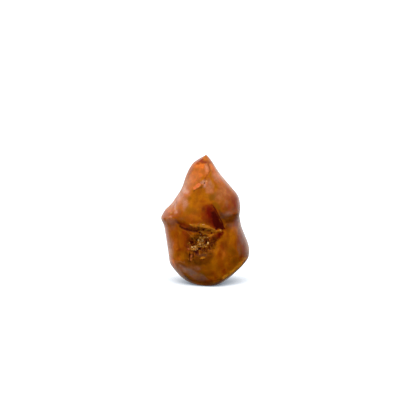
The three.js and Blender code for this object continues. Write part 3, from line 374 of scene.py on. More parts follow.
# Small shell-shaped chips along the front ridge: (x, z, half width, half height, tilt, depth in mm)
CHIPS = [
    (-0.4, 49.9, 1.4, 0.93, 25, 0.3), (0.8, 51.4, 0.7, 0.51, 40, 0.15), (-3.9, 47.5, 1.58, 0.65, 38, 0.16),
    (-5.6, 45.5, 0.93, 0.42, 45, 0.15), (1.7, 54.4, 0.51, 0.88, 10, 0.14),
    (-15.7, 34.3, 1.02, 0.42, 10, 0.12), (-1.3, 51.3, 0.65, 0.74, 40, 0.14),
]

# Where the crystals stand: (x, z, half width, half height, tilt, share of them, share that are pale, a pale
# colour that is partly a painted glint)
CRYSTAL_BEDS = [
    (-2.2, 22.6, 1.49, 1.68, -20, 0.27, 0.4), (-2, 20.9, 1.49, 0.65, -5, 0.12, 0.3),
    (-5.2, 19, 1.49, 0.88, -8, 0.22, 0.5), (-2.5, 20.2, 2.05, 0.65, 20, 0.1, 0.25),
    (-0.3, 19.9, 1.49, 0.47, 5, 0.08, 0.2), (-7.6, 21.3, 0.37, 0.47, 0, 0.01, 0.3),
    (1.3, 21.5, 0.37, 0.56, 0, 0.02, 0.4), (-0.7, 24.1, 2.14, 0.61, 6, 0.09, 0.3),
    (-6.6, 18.5, 0.74, 0.56, -20, 0.02, 0.3), (-1.7, 27, 0.65, 0.42, -20, 0.008, 0.3),
]
CRYSTAL_STAIN = (0.10, 0.018, 0.002)

# How many random numbers the noise has along each side before it repeats
LATTICE = 64

# Which colours lie over which: soft-edged ones from the lowest to the highest, then crisp ones on top
SOFT_LAYERS = ("orange", "gold", "olive", "rust", "garnet_and_fold_shade", "umber_and_shade", "painted_mauve_sheen", "painted_glow", "painted_pink_sheen")
CRISP_LAYERS = ("iron_and_shade", "amber", "ochre", "cream_and_glint")

# What the polish reflects besides the white walls: (azimuth, elevation, edge, middle, strength), where the
# edge and the middle are cosines of the angle away from that direction
DARK_SCREENS = [(114, 16, 0.88, 0.99, 0.5), (0, 90, 0.8, 0.99, 0.5)]
SOFT_LAMPS = [
    (-122, 26, 0.88, 0.99, 0.5), (-80, -59, 0.966, 0.999, 0.45),
    (-136, -24, 0.86, 0.98, 0.5), (130, 8, 0.9, 0.98, 0.3),
]
LIGHT_FROM_RIGHT = -0.3
LEAST_LIGHT = 0.05
WHITE_FOR_CAMERA = 1.3

# The floor: its own grey, and a glow painted into it that stands for the light from the front past the stone,
# with painted shade where that light wouldn't reach, bluish further out and warm close to the stone
FLOOR_SHADE = 0.25
FRONT_LIGHT_ON_FLOOR = 0.95
TOWARD_FRONT_LIGHT = (0.0, -0.9, 0.44)
SHADE_REACH = 22 * MM
BLUISH_SHADE = (0.10, 0.14, 0.19)
WARM_SHADE = (0.10, 0.06, 0.055)


def tint(name, description, value):
    """A colour in the sidebar."""
    return FloatVectorProperty(
        name=name, description=description, default=value, subtype="COLOR", size=3, min=0.0, max=1.0,
    )


def small_length(name, description, value):
    """A length in the sidebar, shown to a hundredth of a millimetre."""
    return FloatProperty(
        name=name, description=description, default=value, min=0.0, unit="LENGTH", precision=5,
    )


class StoneSettings(bpy.types.PropertyGroup):
    """Shape and finish of the polished stone."""

    waviness: small_length("Waviness", "Height of the soft waves that hand polishing leaves", 0.05 * MM)
    grain_height: small_length("Grain height", "Height of the rough grain in the hollow", GRAIN_HEIGHT * MM)
    polish: FloatProperty(
        name="Polish roughness", description="Roughness of the polished surface",
        default=0.1, min=0.02, max=1.0, subtype="FACTOR",
    )
    body: tint("Body", "Amber brown of most of the stone", (0.43, 0.108, 0.001))
    orange: tint("Orange", "Bright orange of the upper left face", (0.74, 0.175, 0.018))
    gold: tint("Gold", "Clear golden parts", (0.50, 0.150, 0.001))
    olive: tint("Olive", "Darker, greener golden parts", (0.27, 0.095, 0.001))
    rust: tint("Rust", "Red-brown patches", (0.28, 0.030, 0.001))
    painted_pink_sheen: tint("Pink", "Milky pink patches", (0.62, 0.30, 0.20))
    painted_glow: tint("Glow", "Thin rim that the light shines through", (0.95, 0.36, 0.02))
    garnet_and_fold_shade: tint("Garnet", "Deep clear red beside the inclusion and in the folds", (0.17, 0.006, 0.001))
    painted_mauve_sheen: tint("Mauve", "Greyish lilac haze on the right flank", (0.24, 0.10, 0.06))
    umber_and_shade: tint("Umber", "Dark brown parts", (0.11, 0.022, 0.001))
    iron_and_shade: tint("Iron", "Dark iron-red inclusion and creases", (0.07, 0.003, 0.001))
    amber: tint("Amber", "Bright flake and crack on the front", (0.80, 0.20, 0.05))
    ochre: tint("Ochre", "Yellow-gold ledges in the hollow", (0.50, 0.17, 0.008))
    cream_and_glint: tint("Cream", "Cream mineral along the ledge and in the chips", (0.82, 0.50, 0.24))


class CrystalSettings(bpy.types.PropertyGroup):
    """The small crystals in the hollow."""

    count: IntProperty(
        name="Crystals", description="How many crystals stand in the hollow", default=400, min=1,
    )
    width: small_length("Width", "Width of a middling crystal", 0.42 * MM)
    length: small_length("Length", "Length of a middling crystal", 0.7 * MM)
    pale_and_glint: tint("Pale", "Cream-white crystals", (0.95, 0.54, 0.19))
    amber: tint("Amber", "Amber crystals", (0.52, 0.19, 0.012))


class StageSettings(bpy.types.PropertyGroup):
    """Camera and light."""

    lens: FloatProperty(name="Lens", description="Focal length", default=100.0, min=1.0, unit="CAMERA")
    distance: FloatProperty(
        name="Distance", description="From the camera to the point it looks at",
        default=0.55, min=0.05, unit="LENGTH",
    )
    elevation: FloatProperty(
        name="Elevation", description="How far the camera looks down",
        default=7 * DEGREE, unit="ROTATION",
    )
    aim: FloatVectorProperty(
        name="Aim", description="The point that the camera looks at",
        default=(TIP.x + 0.86 * MM, 0.0, 36.5 * MM), size=3, subtype="TRANSLATION",
    )
    fill: FloatProperty(
        name="Fill", description="Strength of the soft light from all round", default=0.38, min=0.0,
    )
    front: FloatProperty(
        name="Front", description="How much stronger the light is from the front than from behind",
        default=0.5, min=0.0,
    )
    overhead: FloatProperty(
        name="Overhead", description="How much stronger the light is from above than from the sides",
        default=1.45, min=0.0,
    )
    reflection: FloatProperty(
        name="White walls", description="Brightness of the white walls that the polish reflects",
        default=1.0, min=0.0,
    )


# Modelling helpers


def only(*pieces):
    """Selects just these pieces, the first one active."""
    bpy.ops.object.select_all(action="DESELECT")
    for piece in pieces:
        piece.select_set(True)
    bpy.context.view_layer.objects.active = pieces[0]


def working_copy(node, name):
    """A fresh piece: a merged copy of a solid, with its triangles joined to four-sided faces."""
    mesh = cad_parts[node].data.copy()
    mesh.name = name
    mesh.materials.clear()
    piece = bpy.data.objects.new(name, mesh)
    bpy.context.scene.collection.objects.link(piece)
    only(piece)
    bpy.ops.mesh.customdata_custom_splitnormals_clear()
    bpy.ops.object.mode_set(mode="EDIT")
    bpy.ops.mesh.select_all(action="SELECT")
    bpy.ops.mesh.remove_doubles(threshold=0.002 * MM)
    bpy.ops.mesh.tris_convert_to_quads(face_threshold=math.pi, shape_threshold=math.pi)
    bpy.ops.object.mode_set(mode="OBJECT")
    return piece


def read_points(mesh):
    """Every point of a mesh in millimetres."""
    flat = np.empty(len(mesh.vertices) * 3)
    mesh.vertices.foreach_get("co", flat)
    return flat.reshape(-1, 3) / MM


def write_points(mesh, points):
    mesh.vertices.foreach_set("co", (points * MM).ravel())
    mesh.update()


def read_normals(mesh):
    flat = np.empty(len(mesh.vertices) * 3)
    mesh.vertex_normals.foreach_get("vector", flat)
    return flat.reshape(-1, 3)


def write_layer(mesh, name, values):
    layer = mesh.attributes.new(name, "FLOAT", "POINT")
    layer.data.foreach_set("value", values.astype(np.float32))


def ease(low, high, at):
    """0 at low, 1 at high, and smooth between."""
    share = np.clip((at - low) / (high - low), 0, 1)
    return share * share * (3 - 2 * share)


def cloud(points, size, seed):
    """Smooth noise from -1 to 1 at each point, in lumps about one size across."""
    lattice = np.random.default_rng(seed).uniform(-1, 1, (LATTICE,) * 3)
    place = points / size + LATTICE * 4.37
    cell = np.floor(place).astype(int)
    share = place - cell
    share = share * share * (3 - 2 * share)
    total = np.zeros(len(points))
    for corner in np.ndindex(2, 2, 2):
        weight = np.prod(np.where(corner, share, 1 - share), axis=1)
        at = (cell + corner) % LATTICE
        total += weight * lattice[at[:, 0], at[:, 1], at[:, 2]]
    return total


def spot(x, z, mark):
    """How strongly a soft-edged oval covers each place on the front."""
    middle_x, middle_z, half_width, half_height, tilt, strength, softness = mark
    turn, climb = math.cos(tilt * DEGREE), math.sin(tilt * DEGREE)
    along = ((x - middle_x) * turn + (z - middle_z) * climb) / half_width
    beside = ((z - middle_z) * turn - (x - middle_x) * climb) / half_height
    return strength * (1 - ease(1 - softness, 1 + 0.5 * softness, np.hypot(along, beside)))


def beside_line(x, z, corners):
    """Distance from each place on the front to a line through the corners."""
    nearest = np.full(len(x), np.inf)
    for (start_x, start_z), (end_x, end_z) in zip(corners, corners[1:]):
        run, climb = end_x - start_x, end_z - start_z
        share = np.clip(((x - start_x) * run + (z - start_z) * climb) / (run * run + climb * climb), 0, 1)
        nearest = np.minimum(nearest, np.hypot(x - start_x - share * run, z - start_z - share * climb))
    return nearest


def inside_outline(x, z, corners, softness):
    """1 inside an outline on the front, 0 outside it, with a soft edge."""
    within = np.zeros(len(x), bool)
    for (start_x, start_z), (end_x, end_z) in zip(corners, corners[1:] + corners[:1]):
        if start_z != end_z:
            crossing = start_x + (z - start_z) / (end_z - start_z) * (end_x - start_x)
            within ^= ((start_z > z) != (end_z > z)) & (x < crossing)
    depth = np.where(within, 1, -1) * beside_line(x, z, corners + corners[:1])
    return ease(-softness, softness, depth)


def max_of(layers):
    """The strongest of several layers at each point."""
    return np.maximum.reduce(list(layers))


def on_front(points, normals):
    """1 on the front of the stone and 0 behind, so that a mark doesn't come through to the back."""
    return ease(-4.0, -1.0, -points[:, 1]) * ease(-0.3, -0.05, -normals[:, 1])


# The stone


def refine(piece, marks, reach):
    """Cuts the faces of the hollow finer, for its grain."""
    points = read_points(piece.data)
    wider = [(x, z, width + reach, height + reach, *rest) for x, z, width, height, *rest in marks]
    inside = max_of(spot(points[:, 0], points[:, 2], mark) for mark in wider)
    inside *= points[:, 1] < HOLLOW_FRONT
    only(piece)
    bpy.ops.object.mode_set(mode="EDIT")
    bpy.ops.mesh.select_mode(type="FACE")
    bpy.ops.mesh.select_all(action="DESELECT")
    bpy.ops.object.mode_set(mode="OBJECT")
    for face in piece.data.polygons:
        face.select = all(inside[corner] > 0.3 for corner in face.vertices)
    bpy.ops.object.mode_set(mode="EDIT")
    bpy.ops.mesh.subdivide(number_cuts=1)
    bpy.ops.object.mode_set(mode="OBJECT")


def facets(x, z, size, seed):
    """Rough crystal grain: every place belongs to one small facet, tilted its own way."""
    random = np.random.default_rng(seed)
    low, high = GRAIN_BOX
    count = int((high[0] - low[0]) * (high[1] - low[1]) / size ** 2)
    middles = random.uniform(low, high, (count, 2))
    tilts = random.uniform(-1, 1, (count, 2))
    lifts = random.uniform(-0.6, 0.6, count)
    height = np.zeros(len(x))
    for start in range(0, len(x), 4000):
        part = slice(start, start + 4000)
        away = np.stack([x[part], z[part]], axis=1)[:, None, :] - middles[None]
        nearest = np.argmin((away ** 2).sum(axis=2), axis=1)
        offset = np.take_along_axis(away, nearest[:, None, None], axis=1)[:, 0]
        height[part] = lifts[nearest] + (offset * tilts[nearest]).sum(axis=1) / size
    return height


def sculpt_stone(piece, settings):
    """Moves points in and out along the surface: waves, the hollow's grain, the ledge, cracks and chips."""
    points = read_points(piece.data)
    normals = read_normals(piece.data)
    front = on_front(points, normals)
    x = points[:, 0] + 0.5 * cloud(points, 2.2, 3)
    z = points[:, 2] + 0.5 * cloud(points, 2.2, 4)
    ground = max_of(spot(x, z, mark) for mark in ROUGH_GROUND) * front
    waves = cloud(points, 7.0, 1) + 0.4 * cloud(points, 3.0, 2)
    lift = settings.waviness / MM * waves * (1 - ground)
    near = np.flatnonzero(ground > 0.01)
    grain = np.zeros(len(points))
    grain[near] = facets(x[near], z[near], GRAIN_SIZE, 5)
    grain[near] += 0.5 * facets(x[near], z[near], GRAIN_SIZE * 0.45, 6)
    lift += settings.grain_height / MM * grain * ground
    lift += LUMP_HEIGHT * cloud(points, 1.8, 7) * ground
    for corners, half_width, raised in FORMS:
        away = beside_line(points[:, 0], points[:, 2], corners)
        lift += raised * front * np.exp(-(away / half_width) ** 2)
    ragged = 1 + 0.8 * cloud(points, 0.8, 8)
    uneven = 1 + 0.8 * cloud(points, 0.8, 9)
    for corners, half_width, raised, _, _ in LINES:
        away = beside_line(x, z, corners)
        lift += raised * uneven * front * np.exp(-(away / (half_width * ragged)) ** 2)
    splintered = 1 + 0.3 * cloud(points, 0.7, 10)
    for *oval, depth in CHIPS:
        lift -= front * depth * spot(points[:, 0], points[:, 2], (*oval, 1.0, 0.5)) * splintered
    lift *= ease(0.2, 1.2, points[:, 2])
    points += normals * lift[:, None]
    low, high = (np.array(corner) / MM for corner in cad_box)
    write_points(piece.data, np.clip(points, low, high))
    write_layer(piece.data, "ground", ground)
    write_layer(piece.data, "grain", grain * ground)


def paint_layers(piece):
    """Writes where each colour of the stone lies, painted shade, glow, reflections and glints among them."""
    points = read_points(piece.data)
    normals = read_normals(piece.data)
    front = on_front(points, normals)
    drift = [0.5 * cloud(points, 2.6, seed) + 0.3 * cloud(points, 1.0, seed + 1) for seed in (11, 13)]
    for name, marks in MARKS.items():
        reach = 0.6 if name in CRISP_LAYERS else 1.4
        x, z = points[:, 0] + reach * drift[0], points[:, 2] + reach * drift[1]
        layer = max_of(spot(x, z, mark) for mark in marks)
        for kind, strength, softness, corners in PATCHES:
            if kind == name:
                layer = np.maximum(layer, strength * inside_outline(x, z, corners, softness))
        for corners, half_width, _, colour, strength in LINES:
            if colour == name:
                line = strength * np.exp(-(beside_line(x, z, corners) / (1.1 * half_width)) ** 2)
                layer = np.maximum(layer, line)
        write_layer(piece.data, name, layer * front)
    write_layer(piece.data, "behind", 1 - front)


# Materials


class Wiring:
    """The nodes of a material or of the world, added and joined one at a time."""

    def __init__(self, owner):
        owner.use_nodes = True
        self.owner = owner
        self.tree = owner.node_tree

    def add(self, kind, inputs=None, **settings):
        node = self.tree.nodes.new(kind)
        for setting, value in settings.items():
            setattr(node, setting, value)
        for socket, value in (inputs or {}).items():
            if isinstance(value, bpy.types.NodeSocket):
                self.tree.links.new(value, node.inputs[socket])
            else:
                node.inputs[socket].default_value = value
        return node

    def place(self, turn=(0, 0, 0), scale=(1, 1, 1)):
        """Object coordinates in millimetres, turned and stretched."""
        coordinates = self.add("ShaderNodeTexCoord").outputs["Object"]
        stretch = tuple(share / MM for share in scale)
        inputs = {"Vector": coordinates, "Rotation": turn, "Scale": stretch}
        return self.add("ShaderNodeMapping", inputs).outputs["Vector"]

    def noise(self, vector, scale, detail=3.0, roughness=0.5, distortion=0.0):
        inputs = {
            "Vector": vector, "Scale": scale, "Detail": detail,
            "Roughness": roughness, "Distortion": distortion,
        }
        return self.add("ShaderNodeTexNoise", inputs).outputs["Fac"]

    def between(self, value, low, high, new_low=0.0, new_high=1.0):
        inputs = {"Value": value, "From Min": low, "From Max": high, "To Min": new_low, "To Max": new_high}
        return self.add("ShaderNodeMapRange", inputs, interpolation_type="SMOOTHSTEP").outputs["Result"]

    def math(self, operation, first, second=0.0):
        return self.add("ShaderNodeMath", {0: first, 1: second}, operation=operation).outputs["Value"]

    def grey(self, value):
        return self.add("ShaderNodeCombineColor", {0: value, 1: value, 2: value}).outputs[0]

    def layer(self, name):
        return self.add("ShaderNodeAttribute", attribute_name=name).outputs["Fac"]

    def blend(self, share, first, second, blend_type="MIX"):
        node = self.add("ShaderNodeMix", data_type="RGBA", blend_type=blend_type)
        for socket, value in ((node.inputs[0], share), (node.inputs[6], first), (node.inputs[7], second)):
            if isinstance(value, bpy.types.NodeSocket):
                self.tree.links.new(value, socket)
            else:
                socket.default_value = value if isinstance(value, float) else (*value, 1.0)
        return node.outputs[2]

    def bump(self, height, strength, distance):
        inputs = {"Height": height, "Strength": strength, "Distance": distance}
        return self.add("ShaderNodeBump", inputs).outputs["Normal"]

    def finish(self, **sockets):
        """Fills the shader's sockets and gives back the material."""
        shader = self.tree.nodes["Principled BSDF"]
        for name, value in sockets.items():
            socket = shader.inputs[name.replace("_", " ")]
            if isinstance(value, bpy.types.NodeSocket):
                self.tree.links.new(value, socket)
            else:
                socket.default_value = value
        return self.owner


def carnelian_material(settings):
    wiring = Wiring(bpy.data.materials.new("polished_carnelian"))
    place = wiring.place()
    clouds = wiring.noise(place, 0.13, 4.0, 0.55, 0.6)
    mottle = wiring.noise(place, 0.5, 5.0, 0.6, 0.4)
    streaks = wiring.noise(wiring.place((0, 0.25, 0), (1.0, 0.6, 0.2)), 0.8, 4.0, 0.6, 0.5)
    fine = wiring.noise(place, 2.0, 4.0, 0.65)
    behind = wiring.layer("behind")
    colour = wiring.blend(wiring.between(mottle, 0.4, 0.6, 0.0, 0.45), tuple(settings.body), settings.gold)
    colour = wiring.blend(wiring.between(streaks, 0.48, 0.68, 0.0, 0.35), colour, settings.rust)
    patches = wiring.math("MULTIPLY", behind, wiring.between(clouds, 0.38, 0.52, 0.75, 0.0))
    colour = wiring.blend(patches, colour, settings.rust)
    # painted glow: brighter orange clouds on the back, as if light shone through
    painted_glow = wiring.math("MULTIPLY", behind, wiring.between(clouds, 0.55, 0.66, 0.0, 0.8))
    colour = wiring.blend(painted_glow, colour, settings.orange)
    waver = wiring.between(mottle, 0.3, 0.7, 0.7, 1.25)
    for name in SOFT_LAYERS:
        share = wiring.math("MULTIPLY", wiring.layer(name), waver)
        colour = wiring.blend(share, colour, getattr(settings, name))
    ground = wiring.layer("ground")
    grain = wiring.layer("grain")
    # painted shade and light on the hollow's grain: its low facets darkened to iron red, its high facets
    # lightened to ochre
    shaded_pits = wiring.math("MULTIPLY", ground, wiring.between(grain, -0.9, 0.1, 0.85, 0.0))
    colour = wiring.blend(shaded_pits, colour, settings.iron_and_shade)
    lit_peaks = wiring.math("MULTIPLY", ground, wiring.between(grain, 0.3, 1.0, 0.0, 0.6))
    colour = wiring.blend(lit_peaks, colour, settings.ochre)
    ragged = wiring.between(fine, 0.3, 0.7, -0.16, 0.16)
    ragged = wiring.math("ADD", ragged, wiring.between(mottle, 0.3, 0.7, -0.1, 0.1))
    for name in CRISP_LAYERS:
        layer = wiring.layer(name)
        share = wiring.between(wiring.math("ADD", layer, ragged), 0.18, 0.85)
        share = wiring.math("MINIMUM", share, wiring.math("MULTIPLY", layer, 3.0))
        colour = wiring.blend(share, colour, getattr(settings, name))
    tone = wiring.between(streaks, 0.3, 0.7, 0.88, 1.08)
    tone = wiring.math("MULTIPLY", tone, wiring.between(mottle, 0.3, 0.7, 0.93, 1.06))
    tone = wiring.math("MULTIPLY", tone, wiring.between(fine, 0.3, 0.7, 0.96, 1.04))
    colour = wiring.blend(1.0, colour, wiring.grey(tone), "MULTIPLY")
    wear = wiring.noise(place, 0.8, 3.0)
    smooth = wiring.between(wear, 0.35, 0.65, settings.polish * 0.8, settings.polish * 1.3)
    roughness = wiring.math("ADD", smooth, wiring.math("MULTIPLY", ground, 0.03))
    ripple = wiring.noise(place, 0.6, 2.0, 0.4)
    crumbs = wiring.noise(place, 1.8, 3.0, 0.6)
    height = wiring.math("ADD", wiring.math("MULTIPLY", ripple, 0.1), wiring.math("MULTIPLY", crumbs, ground))
    return wiring.finish(
        Base_Color=colour, Roughness=roughness, Normal=wiring.bump(height, 0.6, 0.12 * MM), IOR=QUARTZ_IOR,
        Subsurface_Weight=0.4, Subsurface_Radius=(1.0, 0.35, 0.1), Subsurface_Scale=2.0 * MM,
    )


def crystal_material(settings):
    wiring = Wiring(bpy.data.materials.new("druzy_crystal"))
    grain = wiring.noise(wiring.place(), 2.5, 3.0)
    # the pale crystals stand partly for glints: their pale colour is partly a painted highlight
    pale_and_glint = wiring.math("ADD", wiring.layer("pale_and_glint"), wiring.math("SUBTRACT", grain, 0.5))
    pale_and_glint = wiring.between(pale_and_glint, 0.2, 0.8)
    colour = wiring.blend(pale_and_glint, tuple(settings.amber), settings.pale_and_glint)
    stain = wiring.between(wiring.noise(wiring.place(), 1.1, 2.0), 0.5, 0.62)
    colour = wiring.blend(wiring.math("MULTIPLY", stain, 0.8), colour, CRYSTAL_STAIN)
    roughness = wiring.between(grain, 0.3, 0.7, 0.06, 0.2)
    return wiring.finish(
        Base_Color=colour, Roughness=roughness, IOR=QUARTZ_IOR,
        Normal=wiring.bump(grain, 0.3, 0.05 * MM),
        Subsurface_Weight=0.2, Subsurface_Radius=(1.0, 0.7, 0.4), Subsurface_Scale=0.5 * MM,
    )


class OBJECT_OT_flame_stone(bpy.types.Operator):
    """Shape and colour the polished stone"""

    bl_idname = "object.flame_stone"
    bl_label = "Flame stone"

    def execute(self, context):
        settings = context.scene.flame_stone
        piece = working_copy(STONE_NODE, "polished_flame")
        tip = max(piece.data.vertices, key=lambda vertex: vertex.co.z).index
        sharp = piece.data.attributes.new("crease_vert", "FLOAT", "POINT")
        sharp.data[tip].value = 1.0
        smoothing = piece.modifiers.new("smooth", "SUBSURF")
        smoothing.levels = smoothing.render_levels = 2
        only(piece)
        bpy.ops.object.modifier_apply(modifier=smoothing.name)
        piece.data.attributes.remove(piece.data.attributes["crease_vert"])
        refine(piece, ROUGH_GROUND[:2], 0.6)
        sculpt_stone(piece, settings)
        paint_layers(piece)
        piece.data.materials.append(carnelian_material(settings))
        only(piece)
        bpy.ops.object.shade_smooth()
        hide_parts(STONE_NODE)
        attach(piece, "root")
        return {"FINISHED"}


def cut_crystal(width, length):
    """One six-sided crystal with a pointed end, its foot at the origin."""
    shaft = 0.55 * length
    bpy.ops.object.select_all(action="DESELECT")
    bpy.ops.mesh.primitive_cylinder_add(vertices=6, radius=width / 2, depth=shaft, location=(0, 0, shaft / 2))
    piece = bpy.context.active_object
    bpy.ops.object.transform_apply(location=True, rotation=True, scale=True)
    bpy.ops.object.mode_set(mode="EDIT")
    bpy.ops.mesh.select_mode(type="FACE")
    bpy.ops.mesh.select_all(action="DESELECT")
    bpy.ops.object.mode_set(mode="OBJECT")
    top = max(piece.data.polygons, key=lambda face: face.center.z)
    top.select = True
    bpy.ops.object.mode_set(mode="EDIT")
    bpy.ops.mesh.extrude_region_move(TRANSFORM_OT_translate={"value": (0, 0, length - shaft)})
    bpy.ops.mesh.merge(type="CENTER")
    bpy.ops.object.mode_set(mode="OBJECT")
    return piece


class OBJECT_OT_flame_crystals(bpy.types.Operator):
    """Stand the small crystals in the hollow"""

    bl_idname = "object.flame_crystals"
    bl_label = "Flame crystals"

    def execute(self, context):
        settings = context.scene.flame_crystals
        stone = bpy.data.objects.get("polished_flame")
        if stone is None:
            raise RuntimeError("make the stone before its crystals")
        random = np.random.default_rng(21)
        pattern = cut_crystal(settings.width, settings.length)
        crystals = []
        for bed in CRYSTAL_BEDS:
            middle_x, middle_z, half_width, half_height, tilt, share, pale_share = bed
            turn, climb = math.cos(tilt * DEGREE), math.sin(tilt * DEGREE)
            for _ in range(round(settings.count * share)):
                bearing = random.uniform(0, 2 * math.pi)
                spread = math.sqrt(random.uniform(0, 1))
                along = spread * half_width * math.cos(bearing)
                beside = spread * half_height * math.sin(bearing)
                x = middle_x + along * turn - beside * climb
                z = middle_z + along * climb + beside * turn
                size = random.lognormal(-0.12, 0.42)
                slim = random.uniform(0.8, 1.15)
                lean = Vector(random.normal(0, 0.42, 3))
                spin = random.uniform(0, 2 * math.pi)
                # some crystals are pale, their colour partly a painted glint
                pale_and_glint = float(random.uniform(0, 1) < pale_share)
                sunk = random.uniform(0.15, 0.4)
                hit, place, facing, _ = stone.ray_cast(Vector((x, -40, z)) * MM, Vector((0, 1, 0)))
                if not hit:
                    raise RuntimeError(f"no stone behind the crystal at {x:.1f}, {z:.1f}")
                copy = pattern.copy()
                copy.data = pattern.data.copy()
                standing = (facing + lean).normalized()
                turned = UPRIGHT.rotation_difference(standing).to_matrix().to_4x4()
                grown = Matrix.Diagonal((size * slim, size * slim, size, 1))
                foot = Matrix.Translation(place - standing * sunk * settings.length * size)
                copy.data.transform(foot @ turned @ Matrix.Rotation(spin, 4, "Z") @ grown)
                layer = copy.data.attributes.new("pale_and_glint", "FLOAT", "POINT")
                layer.data.foreach_set("value", [pale_and_glint] * len(copy.data.vertices))
                context.scene.collection.objects.link(copy)
                crystals.append(copy)
        bpy.data.objects.remove(pattern)
        only(*crystals)
        bpy.ops.object.join()
        piece = context.active_object
        piece.name = "hollow_crystals"
        piece.data.name = "hollow_crystals"
        piece.data.materials.clear()
        piece.data.materials.append(crystal_material(settings))
        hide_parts(CRUST_NODE)
        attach(piece, "root")
        return {"FINISHED"}


# The studio


def direction_of(azimuth, elevation):
    """The way to an azimuth, 0 in front and 90 on the right, and an elevation."""
    level = math.cos(elevation * DEGREE)
    across = math.sin(azimuth * DEGREE) * level
    ahead = -math.cos(azimuth * DEGREE) * level
    return across, ahead, math.sin(elevation * DEGREE)


def studio_light(settings):
    """White for the camera, white walls beside and behind for the polish, and soft light for the colours."""
    world = bpy.data.worlds.new("studio")
    bpy.context.scene.world = world
    world.cycles.sampling_method = "NONE"
    wiring = Wiring(world)
    wiring.tree.nodes.clear()
    direction = wiring.add("ShaderNodeTexCoord").outputs["Generated"]
    parts = wiring.add("ShaderNodeSeparateXYZ", {"Vector": direction}).outputs

    def lamp(azimuth, elevation, edge, middle, strength):
        """A soft-edged light in one direction."""
        inputs = {0: direction, 1: direction_of(azimuth, elevation)}
        toward = wiring.add("ShaderNodeVectorMath", inputs, operation="DOT_PRODUCT").outputs["Value"]
        return wiring.between(toward, edge, middle, 0.0, strength)

    ahead = wiring.math("MULTIPLY", parts["Y"], -1.0)
    raised = wiring.math("MAXIMUM", parts["Z"], 0.0)
    from_front = wiring.math("SUBTRACT", ahead, wiring.math("MULTIPLY", raised, 0.75))
    walls = wiring.between(from_front, 0.05, -0.88, 0.0, settings.reflection)
    walls = wiring.math("MULTIPLY", walls, wiring.between(parts["Z"], -0.6, 0.0, 0.1, 1.0))
    for screen in DARK_SCREENS:
        walls = wiring.math("MULTIPLY", walls, wiring.math("SUBTRACT", 1.0, lamp(*screen)))
    for light in SOFT_LAMPS:
        walls = wiring.math("ADD", walls, lamp(*light))
    above = wiring.math("MULTIPLY", parts["Z"], settings.overhead)
    sideways = wiring.math("MULTIPLY", parts["X"], LIGHT_FROM_RIGHT)
    front = wiring.math("MULTIPLY", wiring.math("MAXIMUM", ahead, 0.0), settings.front)
    fill = wiring.math("ADD", front, settings.fill)
    fill = wiring.math("ADD", wiring.math("ADD", above, sideways), fill)
    fill = wiring.math("MAXIMUM", fill, LEAST_LIGHT)
    path = wiring.add("ShaderNodeLightPath").outputs
    shared = wiring.math("MULTIPLY", path["Is Glossy Ray"], wiring.math("SUBTRACT", walls, fill))
    shared = wiring.math("ADD", shared, fill)
    strength = wiring.math("MULTIPLY", path["Is Camera Ray"], WHITE_FOR_CAMERA)
    strength = wiring.math("MAXIMUM", shared, strength)
    background = wiring.add("ShaderNodeBackground", {"Color": (1, 1, 1, 1), "Strength": strength})
    wiring.add("ShaderNodeOutputWorld", {"Surface": background.outputs["Background"]})


def floor_material():
    """Pale paper that glows, with painted shade beside and behind the stone, where a light from the front
    wouldn't reach.
    """
    wiring = Wiring(bpy.data.materials.new("pale_floor"))
    speckle = wiring.noise(wiring.place(), 0.02, 2.0)
    shade = wiring.between(speckle, 0.3, 0.7, FLOOR_SHADE * 0.98, FLOOR_SHADE * 1.02)
    toward_light = wiring.add("ShaderNodeCombineXYZ", dict(enumerate(TOWARD_FRONT_LIGHT))).outputs[0]
    inputs = {"Normal": toward_light, "Distance": SHADE_REACH}
    open_share = wiring.add("ShaderNodeAmbientOcclusion", inputs, samples=16).outputs["AO"]
    shadow = wiring.blend(wiring.between(open_share, 0.1, 0.6), WARM_SHADE, BLUISH_SHADE)
    lit = wiring.between(open_share, 0.43, 0.98, 0.0, FRONT_LIGHT_ON_FLOOR)
    return wiring.finish(
        Base_Color=wiring.grey(shade), Roughness=0.6, Specular_IOR_Level=0.2,
        Emission_Color=wiring.blend(1.0, shadow, wiring.grey(lit), "ADD"), Emission_Strength=1.0,
    )


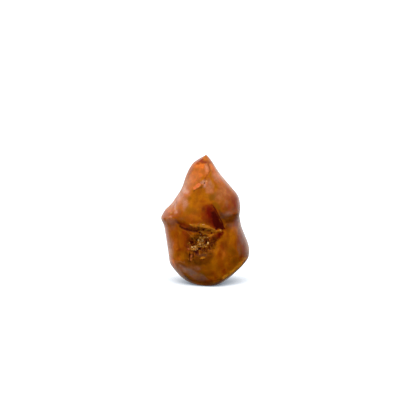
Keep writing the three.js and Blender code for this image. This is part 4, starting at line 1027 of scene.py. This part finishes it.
class SCENE_OT_flame_stage(bpy.types.Operator):
    """Set the floor, the light and the camera"""

    bl_idname = "scene.flame_stage"
    bl_label = "Flame stage"

    def execute(self, context):
        settings = context.scene.flame_stage
        bpy.ops.object.select_all(action="DESELECT")
        bpy.ops.mesh.primitive_circle_add(vertices=96, radius=3.0, fill_type="NGON")
        floor = context.active_object
        floor.name = "floor"
        floor.data.materials.append(floor_material())
        floor.visible_glossy = floor.visible_diffuse = floor.visible_shadow = False
        studio_light(settings)
        bpy.ops.object.camera_add(rotation=(math.pi / 2 - settings.elevation, 0, 0))
        camera = context.active_object
        away = Vector((0, -math.cos(settings.elevation), math.sin(settings.elevation)))
        camera.location = Vector(settings.aim) + settings.distance * away
        camera.data.lens = settings.lens
        camera.data.sensor_width = 36
        camera.data.clip_start = 0.01
        context.scene.camera = camera
        context.scene.view_settings.view_transform = "Standard"
        context.scene.view_settings.look = "None"
        return {"FINISHED"}


class VIEW3D_PT_flame(bpy.types.Panel):
    """Sizes and colours of the flame carving"""

    bl_idname = "VIEW3D_PT_flame"
    bl_label = "Flame carving"
    bl_space_type = "VIEW_3D"
    bl_region_type = "UI"
    bl_category = "Flame"

    def draw(self, context):
        scene = context.scene
        for settings, operator in (
            (scene.flame_stone, OBJECT_OT_flame_stone),
            (scene.flame_crystals, OBJECT_OT_flame_crystals),
            (scene.flame_stage, SCENE_OT_flame_stage),
        ):
            box = self.layout.box()
            for name in settings.__annotations__:
                box.prop(settings, name)
            box.operator(operator.bl_idname)


CLASSES = (
    StoneSettings,
    CrystalSettings,
    StageSettings,
    OBJECT_OT_flame_stone,
    OBJECT_OT_flame_crystals,
    SCENE_OT_flame_stage,
    VIEW3D_PT_flame,
)


def register():
    for kind in CLASSES:
        bpy.utils.register_class(kind)
    bpy.types.Scene.flame_stone = PointerProperty(type=StoneSettings)
    bpy.types.Scene.flame_crystals = PointerProperty(type=CrystalSettings)
    bpy.types.Scene.flame_stage = PointerProperty(type=StageSettings)


def unregister():
    del bpy.types.Scene.flame_stone
    del bpy.types.Scene.flame_crystals
    del bpy.types.Scene.flame_stage
    for kind in reversed(CLASSES):
        bpy.utils.unregister_class(kind)


def main():
    register()
    bpy.ops.object.flame_stone()
    bpy.ops.object.flame_crystals()
    bpy.ops.scene.flame_stage()


if __name__ == "__main__":
    main()
